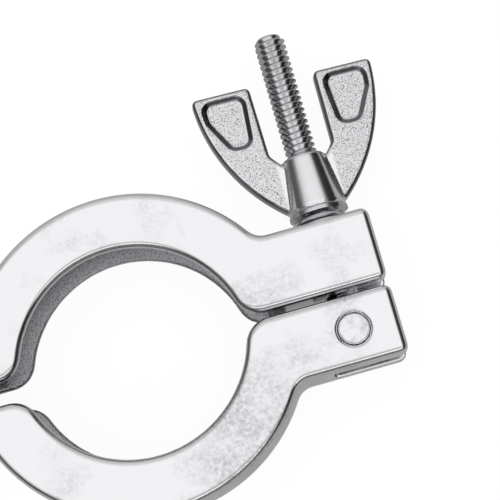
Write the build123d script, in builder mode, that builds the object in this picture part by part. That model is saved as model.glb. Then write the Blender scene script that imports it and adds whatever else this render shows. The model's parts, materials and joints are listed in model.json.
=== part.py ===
"""Hinged clamp for a pair of small vacuum flanges.

Two cast half rings with a V groove inside turn on a hinge pin at one end. At the other end
a swing bolt on a pivot pin and a wing nut draw their forked lugs together.
+Z is the axis of the flange bore, +X runs from the hinge to the lugs and +Y runs along the
bolt to the wing nut. The origin is on the bore axis, half way through the thickness.
"""
from build123d import *
import math
import os

os.makedirs("parts", exist_ok=True)

# Cast jaws
thickness = 16.0
outer_radius = 33.7
lip_radius = 22.6
arc_shift = 2.15          # each half ring's centre lies this far past the parting plane
face_rounding = 1.6
inner_corner = 5.5        # where the half ring turns into its parting face
outer_corner = 4.0        # where the half ring turns into its lug or hinge arm
lug_corner = 1.6
half = thickness / 2

# V groove
groove_radius = 28.0
groove_width = 9.4
groove_angle = 15.0
channel_depth = 3.2       # past the half ring, along the hinge arm
channel_corner = 3.0
pocket_radius = 29.3
pocket_width = 7.0
pocket_start = 47.0
pocket_sweep = 80.0

# Bolt lugs
lug_end = 51.4
lug_gap = 1.1
upper_lug_top = 15.2
lower_lug_bottom = 14.4
fork_width = 7.0

# Hinge
hinge_x = -41.0
hinge_y = -0.7
knuckle_radius = 7.0
knuckle_clearance = 0.4
tongue_width = 6.0
ear_gap = 0.2
hinge_gap_above = 1.3
hinge_gap_below = 3.1
hinge_pin_radius = 2.5
running_clearance = 0.05

# Swing bolt and its pivot
bolt_x = 42.3
pivot_y = -7.4
bolt_radius = 3.175
bolt_tip = 56.3
bolt_chamfer = 0.9
eye_radius = 5.4
eye_width = 6.4
pivot_pin_radius = 3.0
pin_chamfer = 0.3
pin_recess = 0.15
pivot_relief_radius = 3.35
pivot_relief_depth = 0.8

# Nut seat and washer
seat_radius = 5.6
seat_foot_radius = 7.5
seat_flare = 2.4
seat_height = 1.75
seat_top = upper_lug_top + seat_height
washer_bottom = seat_top + 0.55
washer_thickness = 0.7
washer_radius = 6.0
washer_hole_radius = bolt_radius + 0.1

# Wing nut
nut_bottom = washer_bottom + washer_thickness
nut_top = 29.9
boss_foot_radius = 5.9
boss_top_radius = 4.5
nut_bore_radius = bolt_radius + 0.05
wing_turn = 6.0          # the wings stand turned from the clamp's faces by this angle
wing_thickness = 3.6
wing_top = 46.8
wing_span = 18.85
wing_inner = 6.75
wing_foot = 6.5
wing_valley = 31.6
wing_rounding = 0.9
pad_depth = 0.9
pad_slope = 48.0

hinge_axis_spot = (hinge_x, hinge_y)


def half_ring_outline(side, hinge_gap, lug_height):
    """Flat outline of one jaw: side is +1 above the parting plane and -1 below it."""
    arm_height = knuckle_radius + side * hinge_y
    with BuildSketch() as outline:
        with Locations((0, -side * arc_shift)):
            Circle(outer_radius)
        with Locations((lug_end / 2, side * lug_height / 2)):
            Rectangle(lug_end, lug_height)
        with Locations((hinge_x / 2, side * arm_height / 2)):
            Rectangle(-hinge_x, arm_height)
        with Locations((outer_radius, side * (lug_gap / 2 - outer_radius))):
            Rectangle(2 * outer_radius, 2 * outer_radius, mode=Mode.SUBTRACT)
        with Locations((-outer_radius, side * (hinge_gap - outer_radius))):
            Rectangle(2 * outer_radius, 2 * outer_radius, mode=Mode.SUBTRACT)
        with Locations((0, -side * arc_shift)):
            Circle(lip_radius, mode=Mode.SUBTRACT)
        corners = outline.vertices()
        inner = corners.filter_by(lambda v: 18 < abs(v.X) < 24 and abs(v.Y) < 4)
        fillet(inner, radius=inner_corner)
        corners = outline.vertices()
        concave = corners.filter_by(lambda v: 26 < abs(v.X) < 35 and abs(v.Y) > 5)
        fillet(concave, radius=outer_corner)
        corners = outline.vertices()
        lug_ends = corners.filter_by(lambda v: v.X > lug_end - 0.1)
        fillet(lug_ends, radius=lug_corner)
    return outline.sketch


def groove_root_outline(side, hinge_gap):
    """Flat outline of the groove's floor, with the channel along the hinge arm."""
    channel_end = hinge_x + knuckle_radius
    channel_top = hinge_gap + channel_depth
    with BuildSketch() as outline:
        with Locations((0, -side * arc_shift)):
            Circle(groove_radius)
        with Locations((channel_end / 2, side * channel_top / 2)):
            Rectangle(-channel_end, channel_top)
        corners = outline.vertices()
        turns = corners.filter_by(lambda v: -30 < v.X < -24 and side * v.Y > 1)
        fillet(turns, radius=channel_corner)
    return outline.sketch


def groove_section(side):
    """Section of the V groove, wider at its mouth by the flange's taper."""
    bore_plane = Plane(origin=(0, -side * arc_shift, 0), x_dir=(1, 0, 0), z_dir=(0, -1, 0))
    mouth_radius = lip_radius - 2
    flare = (groove_radius - mouth_radius) * math.tan(math.radians(groove_angle))
    with BuildSketch(bore_plane) as section:
        with BuildLine():
            Polyline(
                (mouth_radius, -groove_width / 2 - flare),
                (groove_radius, -groove_width / 2),
                (groove_radius, groove_width / 2),
                (mouth_radius, groove_width / 2 + flare),
                close=True,
            )
        make_face()
    return section.sketch


def bore_axis(side):
    """Axis of one half ring."""
    return Axis((0, -side * arc_shift, 0), (0, 0, 1))


# Upper jaw: hinge ears, V groove, forked lug with the raised nut seat
with BuildPart() as upper_jaw:
    with BuildSketch(Plane.XY.offset(-half)):
        add(half_ring_outline(1, hinge_gap_above, upper_lug_top))
        with Locations(hinge_axis_spot):
            Circle(knuckle_radius)
    extrude(amount=thickness)
    front_and_back = upper_jaw.faces().filter_by(Axis.Z)
    fillet(front_and_back.edges(), radius=face_rounding)
    with BuildSketch(Plane.XY.offset(-tongue_width / 2 - ear_gap)):
        with Locations(hinge_axis_spot):
            Circle(knuckle_radius + knuckle_clearance)
    extrude(amount=tongue_width + 2 * ear_gap, mode=Mode.SUBTRACT)
    revolve(groove_section(1), axis=bore_axis(1), mode=Mode.SUBTRACT)
    with BuildSketch(Plane.XY.offset(-groove_width / 2)):
        add(groove_root_outline(1, hinge_gap_above))
    extrude(amount=groove_width, mode=Mode.SUBTRACT)
    pocket_plane = Plane(
        origin=(0, -arc_shift, 0),
        x_dir=(math.cos(math.radians(pocket_start)), math.sin(math.radians(pocket_start)), 0),
        z_dir=(math.sin(math.radians(pocket_start)), -math.cos(math.radians(pocket_start)), 0),
    )
    with BuildSketch(pocket_plane):
        with Locations((pocket_radius - 2, 0)):
            RectangleRounded(4, pocket_width, 0.8)
    revolve(axis=bore_axis(1), revolution_arc=pocket_sweep, mode=Mode.SUBTRACT)
    seat_plane = Plane(origin=(bolt_x, 0, 0), x_dir=(1, 0, 0), z_dir=(0, 0, 1))
    with BuildSketch(seat_plane):
        with BuildLine():
            foot = (seat_foot_radius, upper_lug_top)
            neck = (seat_radius, seat_top)
            Polyline(neck, (0, seat_top), (0, upper_lug_top - 1), (seat_foot_radius, upper_lug_top - 1), foot)
            RadiusArc(foot, neck, seat_flare)
        make_face()
    revolve(axis=Axis((bolt_x, 0, 0), (0, 1, 0)))
    with BuildSketch(Plane.XZ):
        with Locations((bolt_x, 0)):
            Circle(fork_width / 2)
        with Locations((bolt_x + outer_radius / 2, 0)):
            Rectangle(outer_radius, fork_width)
    extrude(amount=-thickness * 2, mode=Mode.SUBTRACT)
    with Locations(hinge_axis_spot):
        Hole(hinge_pin_radius + running_clearance)
upper_jaw.part.label = "upper_jaw"
export_step(upper_jaw.part, "parts/upper_jaw.step")

# Lower jaw: hinge tongue, V groove, forked lug with the pivot pin's hole
with BuildPart() as lower_jaw:
    with BuildSketch(Plane.XY.offset(-half)):
        add(half_ring_outline(-1, hinge_gap_below, lower_lug_bottom))
    extrude(amount=thickness)
    front_and_back = lower_jaw.faces().filter_by(Axis.Z)
    fillet(front_and_back.edges(), radius=face_rounding)
    with BuildSketch(Plane.XY.offset(-thickness)):
        with Locations(hinge_axis_spot):
            Circle(knuckle_radius + knuckle_clearance)
    extrude(amount=thickness * 2, mode=Mode.SUBTRACT)
    with BuildSketch(Plane.XY.offset(-tongue_width / 2)):
        with Locations(hinge_axis_spot):
            Circle(knuckle_radius)
        arm_top = -hinge_gap_below
        arm_bottom = hinge_y - knuckle_radius
        with Locations((hinge_x + knuckle_radius * 0.75, (arm_top + arm_bottom) / 2)):
            Rectangle(knuckle_radius * 1.5, arm_top - arm_bottom)
    extrude(amount=tongue_width)
    revolve(groove_section(-1), axis=bore_axis(-1), mode=Mode.SUBTRACT)
    with BuildSketch(Plane.XY.offset(-groove_width / 2)):
        with Locations((0, arc_shift)):
            Circle(groove_radius)
    extrude(amount=groove_width, mode=Mode.SUBTRACT)
    with BuildSketch(Plane.XZ):
        with Locations((bolt_x - eye_radius - knuckle_clearance + outer_radius / 2, 0)):
            Rectangle(outer_radius, fork_width)
    extrude(amount=thickness * 2, mode=Mode.SUBTRACT)
    with Locations((bolt_x, pivot_y, half)):
        CounterBoreHole(pivot_pin_radius, pivot_relief_radius, pivot_relief_depth)
    with Locations(Location((bolt_x, pivot_y, -half), (1, 0, 0), 180)):
        CounterBoreHole(pivot_pin_radius, pivot_relief_radius, pivot_relief_depth)
    with Locations(hinge_axis_spot):
        Hole(hinge_pin_radius)
lower_jaw.part.label = "lower_jaw"
export_step(lower_jaw.part, "parts/lower_jaw.step")

# Hinge pin, held in the tongue
with BuildPart() as hinge_pin:
    with Locations(hinge_axis_spot):
        Cylinder(hinge_pin_radius, thickness - 2 * pin_recess)
    chamfer(hinge_pin.edges().filter_by(GeomType.CIRCLE), length=pin_chamfer)
hinge_pin.part.label = "hinge_pin"
export_step(hinge_pin.part, "parts/hinge_pin.step")

# Pivot pin, held in both cheeks of the lower lug
with BuildPart() as pivot_pin:
    with Locations((bolt_x, pivot_y)):
        Cylinder(pivot_pin_radius, thickness - 2 * pin_recess)
    chamfer(pivot_pin.edges().filter_by(GeomType.CIRCLE), length=pin_chamfer)
pivot_pin.part.label = "pivot_pin"
export_step(pivot_pin.part, "parts/pivot_pin.step")

# Swing bolt: an eye on the pivot pin and a shank that stands up through both forks
with BuildPart() as swing_bolt:
    with BuildSketch(Plane.XY.offset(-eye_width / 2)):
        with Locations((bolt_x, pivot_y)):
            Circle(eye_radius)
    extrude(amount=eye_width)
    chamfer(swing_bolt.edges().filter_by(GeomType.CIRCLE), length=pin_chamfer)
    shank_plane = Plane(origin=(bolt_x, pivot_y, 0), x_dir=(1, 0, 0), z_dir=(0, 1, 0))
    with BuildSketch(shank_plane):
        Circle(bolt_radius)
    extrude(amount=bolt_tip - pivot_y)
    tip = swing_bolt.faces().sort_by(Axis.Y)[-1]
    chamfer(tip.edges(), length=bolt_chamfer)
    with Locations((bolt_x, pivot_y)):
        Hole(pivot_pin_radius + running_clearance)
swing_bolt.part.label = "swing_bolt"
export_step(swing_bolt.part, "parts/swing_bolt.step")

# Washer under the wing nut
washer_plane = Plane(origin=(bolt_x, washer_bottom, 0), x_dir=(1, 0, 0), z_dir=(0, 1, 0))
with BuildPart() as washer:
    with BuildSketch(washer_plane):
        Circle(washer_radius)
        Circle(washer_hole_radius, mode=Mode.SUBTRACT)
    extrude(amount=washer_thickness)
washer.part.label = "washer"
export_step(washer.part, "parts/washer.step")

# Wing nut: a tapered boss with two wings, each with a sunk finger pad on both faces
wing_direction = math.radians(wing_turn)
wing_plane = Plane(
    origin=(bolt_x, 0, 0),
    x_dir=(math.cos(wing_direction), 0, -math.sin(wing_direction)),
    z_dir=(math.sin(wing_direction), 0, math.cos(wing_direction)),
)
with BuildPart() as wing_nut:
    with BuildSketch(wing_plane.offset(-wing_thickness / 2)):
        with BuildLine():
            wing_root = (boss_foot_radius - 0.6, nut_bottom + 0.4)
            wing_bulge = (14.0, 28.8)
            outer_tip = (wing_span, wing_top)
            inner_tip = (wing_inner, wing_top)
            valley = (wing_foot, wing_valley)
            Line((0, nut_bottom + 0.4), wing_root)
            ThreePointArc(wing_root, wing_bulge, outer_tip)
            Polyline(outer_tip, inner_tip, valley, (4.0, 28.6), (0, 28.6))
            mirror(about=Plane.YZ)
        make_face()
    extrude(amount=wing_thickness)
    uprights = wing_nut.edges().filter_by(lambda e: abs(abs(e.tangent_at(0.5).dot(wing_plane.z_dir)) - 1) < 1e-3)
    tips = uprights.filter_by(lambda e: e.center().Y > wing_top - 1)
    valleys = uprights.filter_by(lambda e: abs(e.center().Y - wing_valley) < 0.5)
    fillet(tips, radius=1.1)
    fillet(valleys, radius=1.6)
    wing_faces = wing_nut.faces().filter_by(lambda f: abs(abs(f.normal_at().dot(wing_plane.z_dir)) - 1) < 1e-3)
    wing_edges = wing_faces.edges().filter_by(lambda e: e.center().Y > nut_bottom + 2)
    fillet(wing_edges, radius=wing_rounding)
    for face_side in (1, -1):
        pad_plane = Plane(
            origin=wing_plane.origin + wing_plane.z_dir * (face_side * wing_thickness / 2),
            x_dir=wing_plane.x_dir * face_side,
            z_dir=wing_plane.z_dir * face_side,
        )
        with BuildSketch(pad_plane) as pads:
            Polygon((7.9, 45.8), (17.6, 45.8), (17.3, 41.2), (13.6, 34.2), (8.8, 34.2), align=None)
            fillet(pads.vertices(), radius=2.4)
            mirror(about=Plane.YZ)
        extrude(amount=-pad_depth, taper=pad_slope, mode=Mode.SUBTRACT)
    boss_plane = Plane(origin=(bolt_x, 0, 0), x_dir=(1, 0, 0), z_dir=(0, 0, 1))
    with BuildSketch(boss_plane):
        with BuildLine():
            Polyline(
                (0, nut_bottom),
                (boss_foot_radius - 0.5, nut_bottom),
                (boss_foot_radius, nut_bottom + 0.7),
                (boss_top_radius, nut_top - 0.4),
                (boss_top_radius - 0.4, nut_top),
                (0, nut_top),
                close=True,
            )
        make_face()
    revolve(axis=Axis((bolt_x, 0, 0), (0, 1, 0)))
    bore_plane = Plane(origin=(bolt_x, nut_bottom - 1, 0), x_dir=(1, 0, 0), z_dir=(0, 1, 0))
    with BuildSketch(bore_plane):
        Circle(nut_bore_radius)
    extrude(amount=nut_top - nut_bottom + 2, mode=Mode.SUBTRACT)
wing_nut.part.label = "wing_nut"
export_step(wing_nut.part, "parts/wing_nut.step")
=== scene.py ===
"""Looks of the hinged flange clamp: polished cast jaws, swing bolt, washer and wing nut."""
import json
import logging
import math
from dataclasses import dataclass
from enum import Enum
from typing import Dict, Optional, Sequence, Tuple, Union

import bmesh
import bpy
from mathutils import Matrix, Vector


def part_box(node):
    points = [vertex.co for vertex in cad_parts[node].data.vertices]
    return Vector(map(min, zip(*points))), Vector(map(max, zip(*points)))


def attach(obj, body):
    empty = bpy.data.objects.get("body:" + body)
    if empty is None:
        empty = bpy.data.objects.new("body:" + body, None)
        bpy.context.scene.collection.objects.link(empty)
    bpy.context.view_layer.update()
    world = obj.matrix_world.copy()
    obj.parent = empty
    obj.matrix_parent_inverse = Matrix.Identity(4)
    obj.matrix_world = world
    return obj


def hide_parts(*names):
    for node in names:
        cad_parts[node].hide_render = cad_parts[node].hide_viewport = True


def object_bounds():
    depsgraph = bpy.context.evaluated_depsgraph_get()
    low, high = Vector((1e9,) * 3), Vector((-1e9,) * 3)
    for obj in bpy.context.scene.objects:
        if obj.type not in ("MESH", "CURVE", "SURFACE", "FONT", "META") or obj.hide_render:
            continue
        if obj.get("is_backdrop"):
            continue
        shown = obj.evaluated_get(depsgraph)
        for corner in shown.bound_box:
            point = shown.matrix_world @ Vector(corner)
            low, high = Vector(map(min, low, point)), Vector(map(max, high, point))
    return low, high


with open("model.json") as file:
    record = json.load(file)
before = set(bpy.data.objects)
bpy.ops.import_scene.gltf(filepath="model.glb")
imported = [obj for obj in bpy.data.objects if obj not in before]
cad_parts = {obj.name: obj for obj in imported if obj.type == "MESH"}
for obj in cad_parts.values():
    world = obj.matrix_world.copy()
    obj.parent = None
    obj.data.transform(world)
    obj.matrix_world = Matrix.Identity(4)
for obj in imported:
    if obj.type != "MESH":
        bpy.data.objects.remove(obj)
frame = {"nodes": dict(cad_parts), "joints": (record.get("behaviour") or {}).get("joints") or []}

Node = bpy.types.Node
Socket = bpy.types.NodeSocket
Amount = Union[Node, Socket, float]
Links = Dict[Union[int, str], object]
Range = Tuple[float, float]

log = logging.getLogger("clamp")
MM = 0.001
WELD = 0.002 * MM         # corners of the CAD mesh closer than this are one
CUT_SLACK = 1e-7          # corners this near a cutting plane count as on it


# ---------------------------------------------------------------- colours and nodes


def linear(hex_code: str) -> Tuple[float, float, float, float]:
    """Turns an sRGB hex value to the linear colour that a socket takes.

    Args:
        hex_code: six hex digits, such as "D8D8DA".

    Returns:
        Red, green, blue and an alpha of 1.
    """
    parts = [int(hex_code[i:i + 2], 16) / 255 for i in (0, 2, 4)]
    red, green, blue = (c / 12.92 if c <= 0.04045 else ((c + 0.055) / 1.055) ** 2.4 for c in parts)
    return (red, green, blue, 1.0)


def frame_joint(name: str) -> Dict[str, object]:
    """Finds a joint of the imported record.

    Args:
        name: the joint's name.

    Returns:
        The joint's entry.
    """
    return next(joint for joint in frame["joints"] if joint["name"] == name)


class Graph:
    """A material's or world's node tree, built one node at a time."""

    def __init__(self, owner: bpy.types.ID) -> None:
        """Empties the owner's node tree.

        Args:
            owner: the material or world whose tree is filled.
        """
        owner.use_nodes = True
        self.tree = owner.node_tree
        self.tree.nodes.clear()

    def add(self, kind: str, links: Optional[Links] = None, **settings: object) -> Node:
        """Adds one shader node.

        Args:
            kind: the node's type name without its ShaderNode prefix.
            links: input name or number to a value, a socket, or a node for its first output.
            settings: the node's own options.

        Returns:
            The new node.
        """
        node = self.tree.nodes.new("ShaderNode" + kind)
        for name, value in settings.items():
            setattr(node, name, value)
        for key, value in (links or {}).items():
            if isinstance(value, bpy.types.Node):
                value = value.outputs[0]
            if isinstance(value, bpy.types.NodeSocket):
                self.tree.links.new(value, node.inputs[key])
            else:
                node.inputs[key].default_value = value
        return node


# ---------------------------------------------------------------- finishes


class RawSkin(Enum):
    """Where a casting keeps the grain of its mould, because no polishing wheel reaches it."""

    GROOVE = "the V groove round the bore"
    WINGS = "the flat sides of the wings"


@dataclass(frozen=True)
class Pattern:
    """A noise over a piece: the size of its blobs, and how many finer layers it has."""

    size_mm: float
    layers: float


@dataclass(frozen=True)
class CastSteel:
    """Investment-cast stainless steel, tumbled and then polished on a wheel.

    To the eye it is a bright neutral mirror, slightly wavy, with faint clouds where the polish
    thins out. The mould's own grain stays where the wheel can't go, as dark pits on a paler matt
    ground; in the jaws' groove that ground is darker, as painted shade in the recess. The narrow
    slopes, rims and edges round the wings' raw faces are painted a darker grey, as painted shade.
    """

    name: str
    raw_skin: RawSkin

    # Colours
    bright: str = "E8E8EA"
    cloudy: str = "8E8E93"
    # Raw skin's tone; on the jaws it is darkened as painted shade in the groove
    raw_tone_and_shade: str = "D0D0D3"
    pitted: str = "3A3A3C"
    # Painted shade: the darker grey laid on the wings' slopes, rims and edges
    painted_shade_tone: str = "8A8A8E"

    # Gloss
    roughness: float = 0.17
    cloudy_roughness: float = 0.39
    raw_roughness: float = 0.32

    # The patterns. The mould's grit is drawn coarser than it is, because it would not show.
    clouds: Pattern = Pattern(13.0, 3.0)
    mottle: Pattern = Pattern(0.7, 4.0)
    waves: Pattern = Pattern(4.5, 1.5)
    grain: Pattern = Pattern(0.24, 3.0)
    fine_share: float = 0.55
    wave_height_mm: float = 0.05
    wave_strength: float = 0.5
    grain_height_mm: float = 0.05

    # How much of each pattern shows, as the part of the noise that it fades in over
    cloud_band: Range = (0.54, 0.8)
    mottle_band: Range = (0.3, 0.72)
    mottle_strength: float = 0.7
    pit_band: Range = (0.52, 0.62)
    pit_strength: float = 0.8

    # The polish is thinnest round this place on the lower jaw
    dull_spot_mm: Tuple[float, float, float] = (22.0, -26.0, 8.0)
    dull_reach_mm: Range = (26.0, 4.0)
    dull_lift: float = 0.2

    # Raw skin of the groove, whose darker tone on the jaws is painted shade: distance from the bore's
    # axis, and from the middle plane
    lip_mm: Range = (20.3, 20.7)
    groove_floor_mm: Range = (30.4, 31.0)
    groove_side_mm: Range = (6.1, 6.3)

    # Raw skin of the wings, and painted shade on their slopes: how squarely a face looks the wings'
    # way, and the boss's reach
    wing_turn: float = 6.0
    raw_facing: Range = (0.94, 0.98)
    painted_shade_facing: Range = (0.88, 0.95)
    boss_mm: Range = (5.8, 6.3)

    def build(self) -> bpy.types.Material:
        """Makes the material.

        Returns:
            The finished material.
        """
        material = bpy.data.materials.new(self.name)
        graph = Graph(material)
        place = graph.add("TexCoord").outputs
        spot = place["Object"]
        patterns = {
            "clouds": self.clouds, "mottle": self.mottle, "waves": self.waves, "grain": self.grain,
        }
        noises = {
            name: graph.add("TexNoise", {
                "Vector": spot,
                "Scale": 1 / (pattern.size_mm * MM),
                "Detail": pattern.layers,
                "Roughness": self.fine_share,
            })
            for name, pattern in patterns.items()
        }
        # The second mask paints shade on the wings' slopes and rims; the jaws get none.
        if self.raw_skin is RawSkin.GROOVE:
            raw, painted_shade = self._groove(graph, spot), 0.0
        else:
            raw, painted_shade = self._wings(graph, spot, place["Normal"])
        cloudy = self._clouds(graph, spot, noises)
        shader = graph.add("BsdfPrincipled", {
            "Base Color": self._colour(graph, cloudy, noises["grain"], raw, painted_shade),
            "Metallic": 1.0,
            "Roughness": self._gloss(graph, cloudy, raw),
            "Normal": self._relief(graph, noises, raw),
        })
        graph.add("OutputMaterial", {"Surface": shader})
        return material

    def _clouds(self, graph: Graph, spot: Socket, noises: Dict[str, Node]) -> Node:
        """Marks where the polish is thin: patches of fine mottle, most of them at the dull spot.

        Args:
            graph: the tree to add to.
            spot: the place on the piece.
            noises: the patterns by name.

        Returns:
            A node that gives 0 on a full polish.
        """
        dull_spot = [v * MM for v in self.dull_spot_mm]
        away = graph.add("VectorMath", {0: spot, 1: dull_spot}, operation="DISTANCE")
        outer, inner = self.dull_reach_mm
        dull = graph.add(
            "MapRange",
            {0: away.outputs["Value"], 1: outer * MM, 2: inner * MM, 3: 0.0, 4: self.dull_lift},
            interpolation_type="SMOOTHSTEP",
        )
        level = graph.add("Math", {0: noises["clouds"], 1: dull}, operation="ADD")
        low, high = self.cloud_band
        patchy = graph.add("MapRange", {0: level, 1: low, 2: high, 3: 0.0, 4: 1.0})
        low, high = self.mottle_band
        mottle = graph.add(
            "MapRange", {0: noises["mottle"], 1: low, 2: high, 3: 0.0, 4: self.mottle_strength}
        )
        return graph.add("Math", {0: patchy, 1: mottle}, operation="MULTIPLY")

    def _colour(self, graph: Graph, cloudy: Node, grain: Node, raw: Node, painted_shade: Amount) -> Socket:
        """Colours the polished, cloudy and raw skin, and paints shade on the wings' slopes and rims.

        Args:
            graph: the tree to add to.
            cloudy: how thin the polish is.
            grain: the mould's grain.
            raw: 1 on raw skin.
            painted_shade: 1 where shade is painted on the wings' slopes and rims.

        Returns:
            The colour's socket.
        """
        low, high = self.pit_band
        pit = graph.add("MapRange", {0: grain, 1: low, 2: high, 3: 0.0, 4: self.pit_strength})
        polished = graph.add(
            "Mix", {0: cloudy, 6: linear(self.bright), 7: linear(self.cloudy)}, data_type="RGBA"
        )
        # Painted shade: the wings' slopes and rims take a darker grey over the polish.
        smooth = graph.add(
            "Mix", {0: painted_shade, 6: polished.outputs[2], 7: linear(self.painted_shade_tone)}, data_type="RGBA"
        )
        # Raw skin: dark pits on the raw tone, which on the jaws is darkened as painted shade
        cast = graph.add(
            "Mix", {0: pit, 6: linear(self.raw_tone_and_shade), 7: linear(self.pitted)}, data_type="RGBA"
        )
        whole = graph.add(
            "Mix", {0: raw, 6: smooth.outputs[2], 7: cast.outputs[2]}, data_type="RGBA"
        )
        return whole.outputs[2]

    def _gloss(self, graph: Graph, cloudy: Node, raw: Node) -> Node:
        """Makes the cloudy and the raw skin less glossy.

        Args:
            graph: the tree to add to.
            cloudy: how thin the polish is.
            raw: 1 on raw skin.

        Returns:
            A node that gives the roughness.
        """
        worn = graph.add(
            "MapRange", {0: cloudy, 1: 0.0, 2: 1.0, 3: self.roughness, 4: self.cloudy_roughness}
        )
        return graph.add("Mix", {0: raw, 2: worn, 3: self.raw_roughness}, data_type="FLOAT")

    def _relief(self, graph: Graph, noises: Dict[str, Node], raw: Node) -> Node:
        """Raises the wheel's waves everywhere and the mould's grain on raw skin.

        Args:
            graph: the tree to add to.
            noises: the patterns by name.
            raw: 1 on raw skin.

        Returns:
            A node that gives the bumped normal.
        """
        wavy = graph.add("Bump", {
            "Strength": self.wave_strength,
            "Distance": self.wave_height_mm * MM,
            "Height": noises["waves"],
        })
        return graph.add("Bump", {
            "Strength": raw,
            "Distance": self.grain_height_mm * MM,
            "Height": noises["grain"],
            "Normal": wavy,
        })

    def _groove(self, graph: Graph, spot: Socket) -> Node:
        """Marks the sides and floor of the V groove, whose raw tone on the jaws is darkened as
        painted shade.

        Args:
            graph: the tree to add to.
            spot: the place on the piece.

        Returns:
            A node that gives 1 in the groove.
        """
        across = graph.add("VectorMath", {0: spot, 1: (1, 1, 0)}, operation="MULTIPLY")
        radius = graph.add("VectorMath", {0: across}, operation="LENGTH").outputs["Value"]
        depth = graph.add("SeparateXYZ", {0: spot}).outputs[2]
        depth = graph.add("Math", {0: depth}, operation="ABSOLUTE")
        inside = None
        for value, (start, end), first in (
            (radius, self.lip_mm, 0.0),
            (radius, self.groove_floor_mm, 1.0),
            (depth, self.groove_side_mm, 1.0),
        ):
            edge = graph.add(
                "MapRange", {0: value, 1: start * MM, 2: end * MM, 3: first, 4: 1.0 - first}
            )
            if inside is None:
                inside = edge
            else:
                inside = graph.add("Math", {0: inside, 1: edge}, operation="MULTIPLY")
        return inside

    def _wings(self, graph: Graph, spot: Socket, normal: Socket) -> Tuple[Node, Node]:
        """Marks the flat sides of the wings, and the slopes and rims between them, where shade is
        painted.

        Args:
            graph: the tree to add to.
            spot: the place on the piece.
            normal: the direction that the surface faces.

        Returns:
            A node that gives 1 on the flat sides, and one that gives 1 on the slopes and rims that
            get painted shade.
        """
        turn = math.radians(self.wing_turn)
        facing = (math.sin(turn), 0.0, math.cos(turn))
        lean = graph.add("VectorMath", {0: normal, 1: facing}, operation="DOT_PRODUCT")
        flat = graph.add("Math", {0: lean.outputs["Value"]}, operation="ABSOLUTE")
        low, high = self.raw_facing
        level = graph.add("MapRange", {0: flat, 1: low, 2: high, 3: 0.0, 4: 1.0})
        # Faces that turn away from the wings' flat sides (the slopes, rims and edges) get painted
        # shade.
        low, high = self.painted_shade_facing
        sloping = graph.add("MapRange", {0: flat, 1: low, 2: high, 3: 1.0, 4: 0.0})
        axis_x = frame_joint("bolt_swing")["pos_m"][0]
        off_axis = graph.add("VectorMath", {0: spot, 1: (axis_x, 0, 0)}, operation="SUBTRACT")
        off_axis = graph.add("VectorMath", {0: off_axis, 1: (1, 0, 1)}, operation="MULTIPLY")
        reach = graph.add("VectorMath", {0: off_axis}, operation="LENGTH").outputs["Value"]
        inner, outer = self.boss_mm
        on_wing = graph.add("MapRange", {0: reach, 1: inner * MM, 2: outer * MM, 3: 0.0, 4: 1.0})
        raw = graph.add("Math", {0: level, 1: on_wing}, operation="MULTIPLY")
        painted_shade = graph.add("Math", {0: sloping, 1: on_wing}, operation="MULTIPLY")
        return raw, painted_shade


@dataclass(frozen=True)
class BarSteel:
    """Stainless bar, ground or thread-rolled: smooth and bright, with fine marks all along."""

    name: str
    bright: str = "DADADD"
    worn: str = "8C8C90"
    marks: Pattern = Pattern(0.22, 4.0)     # real grinding marks are finer, too fine to show
    mark_height_mm: float = 0.01
    mark_relief: float = 0.2
    colour_band: Range = (0.48, 0.72)
    colour_strength: float = 0.7
    gloss_band: Range = (0.4, 0.7)
    roughness: float = 0.16
    worn_roughness: float = 0.28

    def build(self) -> bpy.types.Material:
        """Makes the material.

        Returns:
            The finished material.
        """
        material = bpy.data.materials.new(self.name)
        graph = Graph(material)
        spot = graph.add("TexCoord").outputs["Object"]
        marks = graph.add("TexNoise", {
            "Vector": spot, "Scale": 1 / (self.marks.size_mm * MM), "Detail": self.marks.layers,
        })
        low, high = self.colour_band
        amount = graph.add("MapRange", {0: marks, 1: low, 2: high, 3: 0.0, 4: self.colour_strength})
        colour = graph.add(
            "Mix", {0: amount, 6: linear(self.bright), 7: linear(self.worn)}, data_type="RGBA"
        )
        low, high = self.gloss_band
        rough = graph.add(
            "MapRange", {0: marks, 1: low, 2: high, 3: self.roughness, 4: self.worn_roughness}
        )
        bump = graph.add("Bump", {
            "Strength": self.mark_relief, "Distance": self.mark_height_mm * MM, "Height": marks,
        })
        shader = graph.add("BsdfPrincipled", {
            "Base Color": colour.outputs[2], "Metallic": 1.0, "Roughness": rough, "Normal": bump,
        })
        graph.add("OutputMaterial", {"Surface": shader})
        return material


# ---------------------------------------------------------------- mesh helpers


def finish_mesh(name: str, mesh: bmesh.types.BMesh, material: bpy.types.Material) -> bpy.types.Object:
    """Turns a bmesh into a piece that sits at the origin.

    Args:
        name: the piece's name.
        mesh: the geometry, in metres; it is freed.
        material: the piece's finish.

    Returns:
        The new object.
    """
    data = bpy.data.meshes.new(name)
    mesh.to_mesh(data)
    mesh.free()
    data.materials.append(material)
    piece = bpy.data.objects.new(name, data)
    bpy.context.scene.collection.objects.link(piece)
    return piece


def apply_modifiers(piece: bpy.types.Object) -> None:
    """Bakes a piece's modifiers into its mesh.

    Args:
        piece: the object to bake.
    """
    graph = bpy.context.evaluated_depsgraph_get()
    baked = bpy.data.meshes.new_from_object(piece.evaluated_get(graph))
    piece.modifiers.clear()
    old = piece.data
    piece.data = baked
    bpy.data.meshes.remove(old)
    baked.name = piece.name


def merged_copy(node: str) -> bmesh.types.BMesh:
    """Copies a CAD node's mesh with its loose triangles joined.

    Args:
        node: the CAD node's name.

    Returns:
        A bmesh in the row frame.
    """
    mesh = bmesh.new()
    mesh.from_mesh(frame["nodes"][node].data)
    bmesh.ops.remove_doubles(mesh, verts=mesh.verts, dist=WELD)
    bmesh.ops.recalc_face_normals(mesh, faces=mesh.faces)
    return mesh


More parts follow.
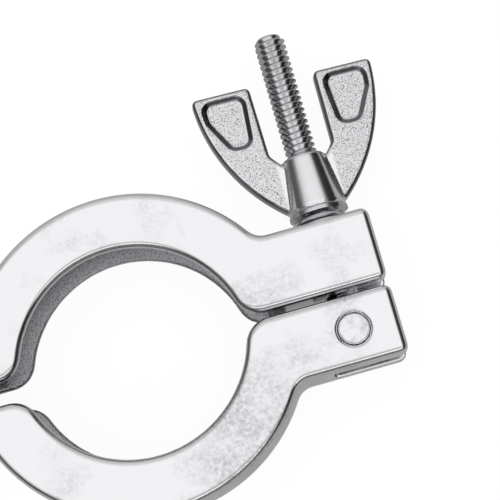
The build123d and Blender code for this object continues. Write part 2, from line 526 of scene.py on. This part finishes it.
def join_into(mesh: bmesh.types.BMesh, other: bmesh.types.BMesh) -> None:
    """Adds one bmesh to another.

    Args:
        mesh: the one that grows.
        other: the one that is added; it is freed.
    """
    carrier = bpy.data.meshes.new("carrier")
    other.to_mesh(carrier)
    other.free()
    mesh.from_mesh(carrier)
    bpy.data.meshes.remove(carrier)


def cut_square(mesh: bmesh.types.BMesh, height: float, keep_below: bool) -> None:
    """Cuts a rod square across Y and drops one side of the cut.

    Args:
        mesh: the rod.
        height: where it is cut, along Y.
        keep_below: whether the part below the cut stays.
    """
    bmesh.ops.bisect_plane(
        mesh,
        geom=mesh.verts[:] + mesh.edges[:] + mesh.faces[:],
        dist=CUT_SLACK,
        plane_co=(0, height, 0),
        plane_no=(0, 1 if keep_below else -1, 0),
        clear_outer=True,
    )


def close_ends(mesh: bmesh.types.BMesh) -> None:
    """Closes the open ends of a rod and shades it smooth.

    Args:
        mesh: the rod.
    """
    bmesh.ops.holes_fill(mesh, edges=[edge for edge in mesh.edges if edge.is_boundary], sides=0)
    for face in mesh.faces:
        face.smooth = True


def report(piece: bpy.types.Object) -> None:
    """Logs one finished piece.

    Args:
        piece: the object to name in the log.
    """
    log.info("%s: %d faces", piece.name, len(piece.data.polygons))


# ---------------------------------------------------------------- pieces


@dataclass
class CastPiece:
    """A casting whose shape the CAD node gives: its edges are softened as tumbling does."""

    node: str
    body: str
    slot: str
    voxel_mm: float = 0.35
    smoothing: int = 4
    smoothing_share: float = 0.5

    def build(self, finish: bpy.types.Material) -> bpy.types.Object:
        """Makes the softened casting in the CAD node's place.

        Args:
            finish: the casting's material.

        Returns:
            The new piece.
        """
        piece = finish_mesh(self.node + "_casting", merged_copy(self.node), finish)
        skin = piece.modifiers.new("skin", "REMESH")
        skin.mode = "VOXEL"
        skin.voxel_size = self.voxel_mm * MM
        skin.use_smooth_shade = True
        soften = piece.modifiers.new("soften", "SMOOTH")
        soften.factor = self.smoothing_share
        soften.iterations = self.smoothing
        apply_modifiers(piece)
        for face in piece.data.polygons:
            face.use_smooth = True
        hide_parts(self.node)
        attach(piece, self.body)
        report(piece)
        return piece


@dataclass
class ThreadedBolt:
    """The swing bolt with its rolled thread, on the CAD bolt's axis. Lengths are in millimetres."""

    radius: float = 3.175
    pitch: float = 1.27
    depth: float = 0.72
    crest: float = 0.18
    root: float = 0.14
    steps: int = 48
    spare_turns: int = 3
    weld: float = 0.004
    start_above_pivot: float = 16.0
    neck_overlap: float = 0.4
    chamfer: float = 0.9
    chamfer_slope: float = 0.9
    tip_depth: float = 1.08
    sharp_angle: float = 32.0

    def build(self, finish: bpy.types.Material) -> bpy.types.Object:
        """Makes the eye, the plain neck and the threaded shank.

        Args:
            finish: the bolt's material.

        Returns:
            The new piece.
        """
        pivot = Vector(frame_joint("bolt_swing")["pos_m"])
        start = pivot.y + self.start_above_pivot * MM
        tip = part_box("swing_bolt")[1].y
        bolt = self._thread(pivot.x, start, tip)
        join_into(bolt, self._neck(start))
        piece = finish_mesh("swing_bolt_threaded", bolt, finish)
        piece.data.set_sharp_from_angle(angle=math.radians(self.sharp_angle))
        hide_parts("swing_bolt")
        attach(piece, "bolt")
        report(piece)
        return piece

    def _thread(self, x: float, start: float, tip: float) -> bmesh.types.BMesh:
        """Spins the thread's section once round with a lead of one pitch.

        Args:
            x: the axis's place along X.
            start: where the thread starts.
            tip: where the bolt ends.

        Returns:
            A closed threaded rod.
        """
        pitch, crest, root = self.pitch * MM, self.crest * MM, self.root * MM
        radius = self.radius * MM
        root_radius = radius - self.depth * MM
        flank = (pitch - crest - root) / 2
        mesh = bmesh.new()
        y = start - pitch
        previous = mesh.verts.new((x + root_radius, y, 0))
        for _ in range(int((tip - start) / pitch) + self.spare_turns):
            for rise, reach in (
                (root, root_radius), (flank, radius), (crest, radius), (flank, root_radius)
            ):
                y += rise
                vert = mesh.verts.new((x + reach, y, 0))
                mesh.edges.new((previous, vert))
                previous = vert
        bmesh.ops.spin(
            mesh,
            geom=mesh.verts[:] + mesh.edges[:],
            cent=(x, 0, 0),
            axis=(0, 1, 0),
            dvec=(0, pitch / self.steps, 0),
            angle=math.tau,
            steps=self.steps,
            use_merge=False,
        )
        bmesh.ops.remove_doubles(mesh, verts=mesh.verts, dist=self.weld * MM)
        for vert in mesh.verts:
            self._chamfer(vert, x, tip)
        cut_square(mesh, start, keep_below=False)
        cut_square(mesh, tip, keep_below=True)
        close_ends(mesh)
        bmesh.ops.recalc_face_normals(mesh, faces=mesh.faces)
        return mesh

    def _chamfer(self, vert: bmesh.types.BMVert, x: float, tip: float) -> None:
        """Draws a vertex in to the chamfer at the tip.

        Args:
            vert: the vertex.
            x: the axis's place along X.
            tip: where the bolt ends.
        """
        past = vert.co.y - (tip - self.chamfer * MM)
        if past <= 0:
            return
        limit = self.radius * MM - min(past * self.chamfer_slope, self.tip_depth * MM)
        away = Vector((vert.co.x - x, 0, vert.co.z))
        if away.length > limit:
            away = away.normalized() * limit
            vert.co.x = x + away.x
            vert.co.z = away.z

    def _neck(self, start: float) -> bmesh.types.BMesh:
        """Copies the eye and the plain neck below the thread.

        Args:
            start: where the thread starts.

        Returns:
            The closed lower end of the bolt.
        """
        mesh = merged_copy("swing_bolt")
        cut_square(mesh, start + self.neck_overlap * MM, keep_below=True)
        close_ends(mesh)
        return mesh


# ---------------------------------------------------------------- studio


class Axis(Enum):
    """A direction in the dome over the clamp."""

    RIGHT = 0
    BACK = 1
    UP = 2


@dataclass(frozen=True)
class Fade:
    """A soft step in the dome's light: one level before its start, another past its end."""

    axis: Axis
    start: float
    end: float
    first: float
    last: float


@dataclass(frozen=True)
class Dome:
    """The light all round: white overhead, dim towards the sides, one bright strip in front.

    Polished steel shows only what it mirrors. The overhead white fills the faces, the dim sides
    draw the rounded edges, and the strip draws a line along the front ones.
    """

    cards: Tuple[Fade, ...] = (
        Fade(Axis.UP, 0.3, 0.92, 0.34, 1.1),        # dim horizon, white zenith
        Fade(Axis.RIGHT, 0.5, 0.72, 1.0, 0.08),     # black card on the right
        Fade(Axis.RIGHT, -0.85, -0.55, 0.3, 1.0),   # grey card on the left
        Fade(Axis.BACK, -0.45, -0.25, 0.5, 1.0),    # grey card in front
        Fade(Axis.BACK, 0.38, 0.65, 1.0, 0.7),      # pale card at the back
    )
    glow: Tuple[Fade, ...] = (Fade(Axis.BACK, 0.5, 0.9, 0.0, 0.3),)
    strip: Tuple[Fade, ...] = (
        Fade(Axis.UP, 0.52, 0.6, 0.0, 1.1),         # its lower edge
        Fade(Axis.UP, 0.7, 0.78, 1.0, 0.0),         # its upper edge
        Fade(Axis.BACK, -0.6, -0.5, 1.0, 0.0),      # only in front
    )

    def light(self) -> None:
        """Makes the world. The camera sees it as plain white."""
        world = bpy.data.worlds.new("studio")
        bpy.context.scene.world = world
        graph = Graph(world)
        way = graph.add("SeparateXYZ", {0: graph.add("TexCoord").outputs["Generated"]}).outputs
        level = self._product(graph, way, self.cards)
        for part in (self.glow, self.strip):
            level = graph.add(
                "Math", {0: level, 1: self._product(graph, way, part)}, operation="ADD"
            )
        seen = graph.add("LightPath").outputs["Is Camera Ray"]
        soft = graph.add("Background", {"Color": linear("FFFFFF"), "Strength": level})
        white = graph.add("Background", {"Color": linear("FFFFFF"), "Strength": 1.0})
        mix = graph.add("MixShader", {0: seen, 1: soft, 2: white})
        graph.add("OutputWorld", {"Surface": mix})

    def _product(self, graph: Graph, way: Sequence[Socket], fades: Sequence[Fade]) -> Node:
        """Multiplies some fades.

        Args:
            graph: the tree to add to.
            way: the direction's three parts.
            fades: the soft steps.

        Returns:
            A node that gives their product.
        """
        product = None
        for fade in fades:
            step = graph.add(
                "MapRange",
                {0: way[fade.axis.value], 1: fade.start, 2: fade.end, 3: fade.first, 4: fade.last},
                interpolation_type="SMOOTHSTEP",
            )
            if product is None:
                product = step
            else:
                product = graph.add("Math", {0: product, 1: step}, operation="MULTIPLY")
        return product


@dataclass
class Floor:
    """A white floor under the clamp's back face, which keeps the clamp's shadow."""

    side_mm: float = 900.0
    gap_mm: float = 0.02
    white_share: float = 0.86
    mirrored_share: float = 0.3
    white_strength: float = 1.08
    seen_paper: str = "F0F0F0"
    bounced_paper: str = "8E8E8E"     # darker, so that the floor lights the clamp less

    def lay(self) -> None:
        """Lays the floor."""
        low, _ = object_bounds()
        mesh = bmesh.new()
        bmesh.ops.create_grid(mesh, x_segments=1, y_segments=1, size=self.side_mm / 2 * MM)
        bmesh.ops.translate(mesh, verts=mesh.verts, vec=(0, 0, low.z - self.gap_mm * MM))
        finish_mesh("floor", mesh, self._paper())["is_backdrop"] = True

    def _paper(self) -> bpy.types.Material:
        """Makes matt paper that partly lights itself, so it stays white under a faint shadow.

        The clamp mirrors it darker than the camera sees it, which keeps the clamp's edges clear.

        Returns:
            The floor's material.
        """
        material = bpy.data.materials.new("white_floor")
        graph = Graph(material)
        path = graph.add("LightPath").outputs
        seen = path["Is Camera Ray"]
        mirrored = graph.add(
            "Math", {0: path["Is Glossy Ray"], 1: path["Is Transmission Ray"]}, operation="MAXIMUM"
        )
        mirrored = graph.add("Math", {0: mirrored, 1: self.mirrored_share}, operation="MULTIPLY")
        direct = graph.add("Math", {0: seen, 1: self.white_share}, operation="MULTIPLY")
        share = graph.add("Math", {0: direct, 1: mirrored}, operation="MAXIMUM")
        tone = graph.add(
            "Mix",
            {0: seen, 6: linear(self.bounced_paper), 7: linear(self.seen_paper)},
            data_type="RGBA",
        )
        paper = graph.add("BsdfDiffuse", {"Color": tone.outputs[2]})
        white = graph.add(
            "Emission", {"Color": linear("FFFFFF"), "Strength": self.white_strength}
        )
        mix = graph.add("MixShader", {0: share, 1: paper, 2: white})
        graph.add("OutputMaterial", {"Surface": mix})
        return material


@dataclass
class Camera:
    """The camera, a little below the clamp's middle and rolled. Angles are in degrees."""

    turn: float = 0.948
    tilt: float = -12.406
    roll: float = 15.605
    aside_mm: Tuple[float, float] = (-22.223, -21.12)
    distance_mm: float = 283.131
    lens_mm: float = 103.045608
    sensor_mm: float = 36.0
    nearest_mm: float = 10.0

    def place(self) -> None:
        """Makes the camera and sets it as the scene's own."""
        turn, tilt, roll = (math.radians(v) for v in (self.turn, self.tilt, self.roll))
        back = Vector((
            math.sin(turn) * math.cos(tilt), math.sin(tilt), math.cos(turn) * math.cos(tilt)
        ))
        level = Vector((0, 1, 0)).cross(back).normalized()
        upright = back.cross(level)
        right = math.cos(roll) * level - math.sin(roll) * upright
        up = math.sin(roll) * level + math.cos(roll) * upright
        aside_right, aside_up = self.aside_mm
        spot = (self.distance_mm * back - aside_right * right - aside_up * up) * MM
        turned = Matrix((right, up, back)).transposed().to_4x4()
        data = bpy.data.cameras.new("camera")
        data.sensor_width = self.sensor_mm
        data.lens = self.lens_mm
        data.clip_start = self.nearest_mm * MM
        camera = bpy.data.objects.new("camera", data)
        camera.matrix_world = Matrix.Translation(spot) @ turned
        bpy.context.scene.collection.objects.link(camera)
        bpy.context.scene.camera = camera


# ---------------------------------------------------------------- main


def main() -> None:
    """Builds the clamp and its studio."""
    logging.basicConfig(level=logging.INFO, format="%(name)s %(message)s")
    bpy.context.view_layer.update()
    # The jaws' raw tone is darker than the nut's: painted shade in the groove round the bore.
    jaw_steel = CastSteel("polished_cast_stainless", RawSkin.GROOVE, raw_tone_and_shade="A2A2A6").build()
    nut_steel = CastSteel("grainy_cast_stainless", RawSkin.WINGS, raw_tone_and_shade="E4E4E6").build()
    pin_steel = BarSteel(
        "ground_stainless_pin", bright="E6E6E8", worn="B8B8BC", marks=Pattern(1.4, 4.0)
    ).build()
    bolt_steel = BarSteel("rolled_stainless_thread", bright="CFCFD2").build()
    CastPiece("lower_jaw", "lower_jaw", "cast_jaws").build(jaw_steel)
    CastPiece("upper_jaw", "upper_jaw", "cast_jaws").build(jaw_steel)
    CastPiece("wing_nut", "nut", "wing_nut", voxel_mm=0.2, smoothing=6).build(nut_steel)
    ThreadedBolt().build(bolt_steel)
    for node, finish in (("hinge_pin", pin_steel), ("pivot_pin", pin_steel), ("washer", bolt_steel)):
        frame["nodes"][node].material_slots[0].material = finish
        report(frame["nodes"][node])
    Camera().place()
    Floor().lay()
    Dome().light()
    bpy.context.scene.view_settings.view_transform = "Standard"


if __name__ == "__main__":
    main()
